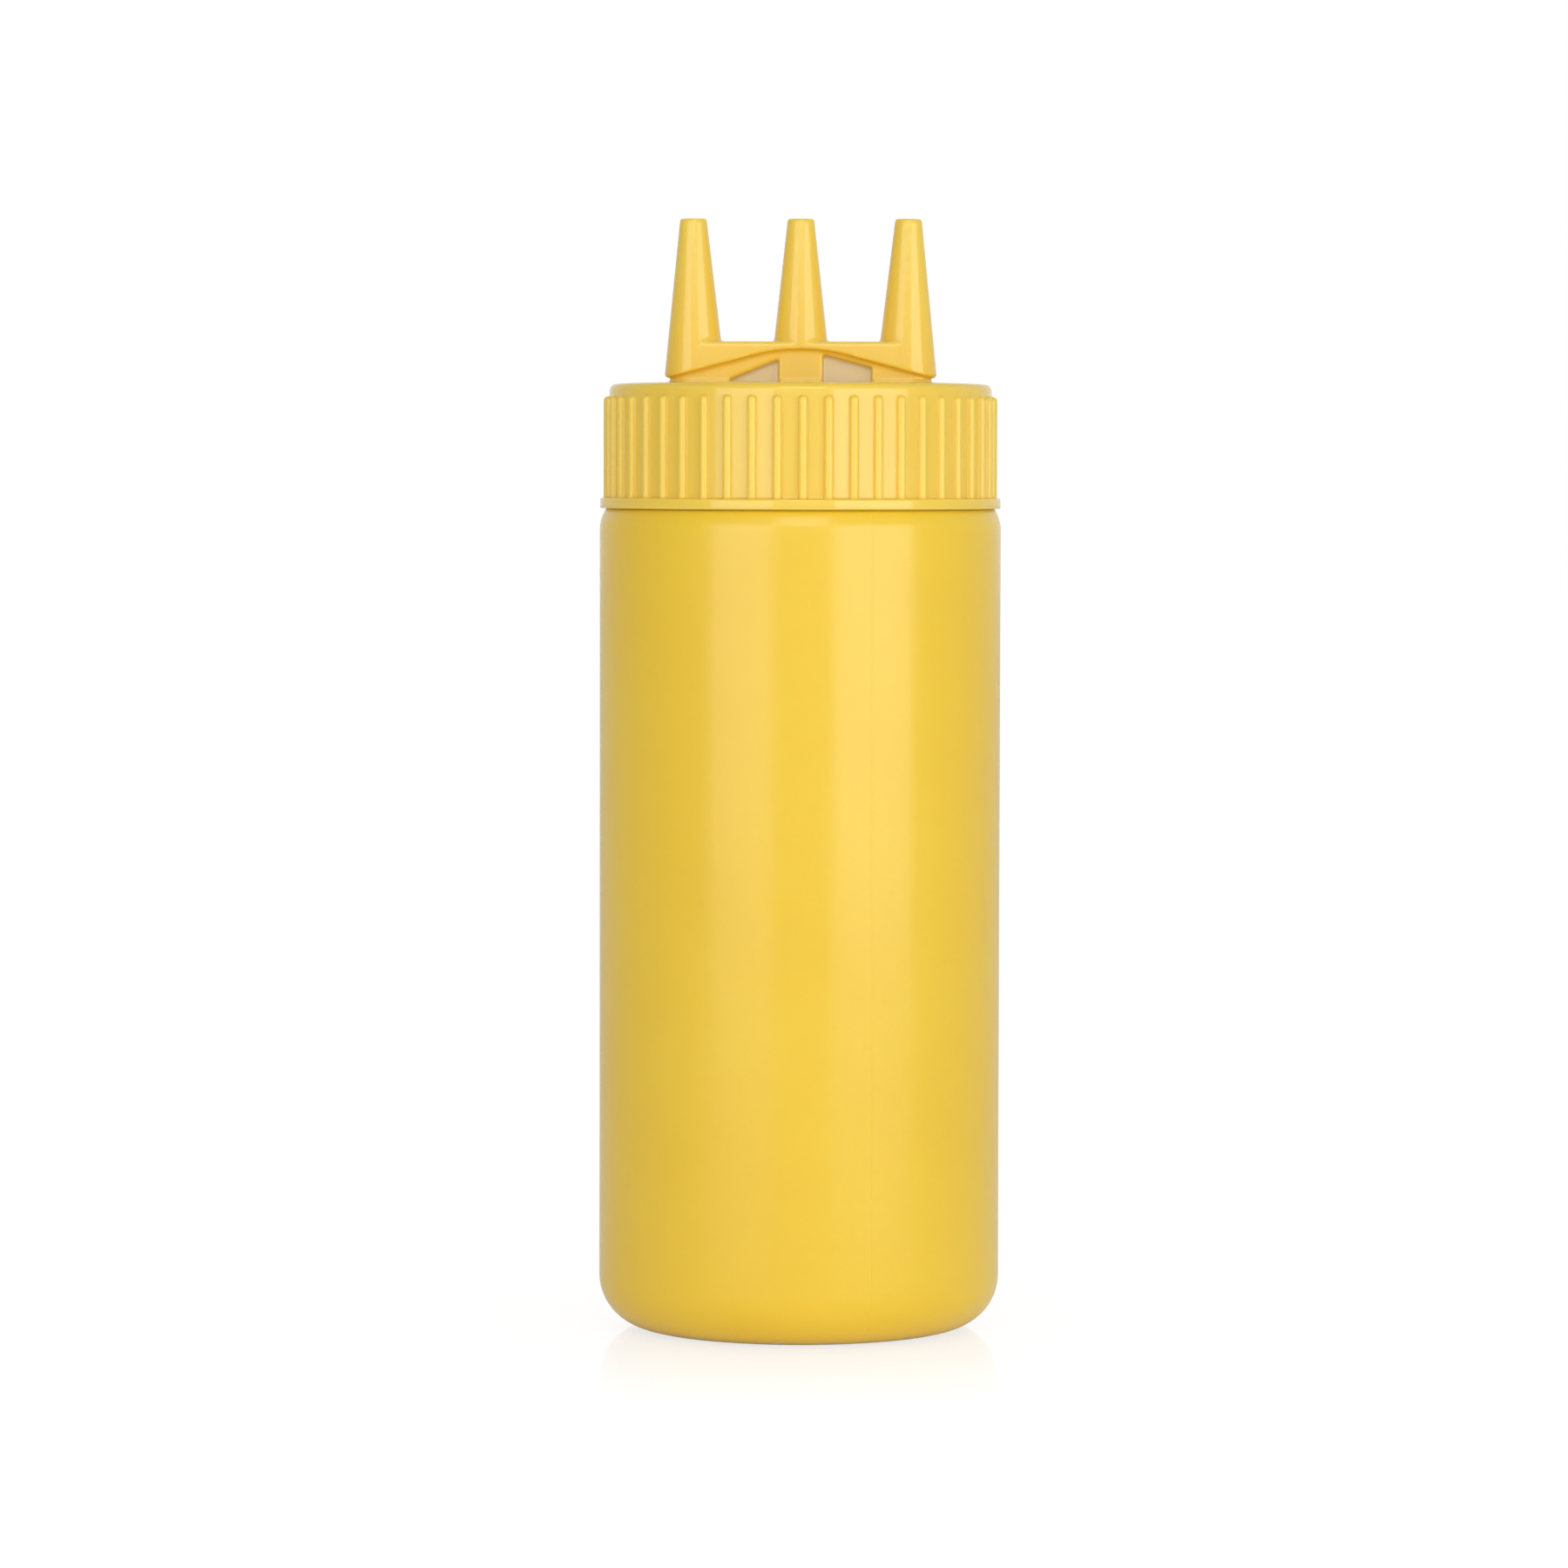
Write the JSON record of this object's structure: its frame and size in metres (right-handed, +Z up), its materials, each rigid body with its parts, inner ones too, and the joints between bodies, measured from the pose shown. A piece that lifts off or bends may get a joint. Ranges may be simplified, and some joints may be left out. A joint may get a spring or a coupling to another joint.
{
  "type": "condiment squeeze bottle",
  "caption": "Round soft-plastic condiment squeeze bottle with a ribbed screw cap, whose tapered spouts stand in a row on an arched bar.",
  "frame": {"origin": "middle of the foot ring's plane, under the bottle's axis", "axes": "+Z up along the bottle's axis; the row of spouts runs along X; -Y is the front"},
  "size_m": [0.07, 0.07, 0.1937],
  "materials": {
    "bottle_plastic": "satin mustard-yellow low-density polythene, blow moulded",
    "cap_plastic": "satin mustard-yellow low-density polythene, injection moulded"
  },
  "bodies": {
    "root": {"bottle": "bottle_plastic", "spout_cap": "cap_plastic"}
  },
  "joints": []
}
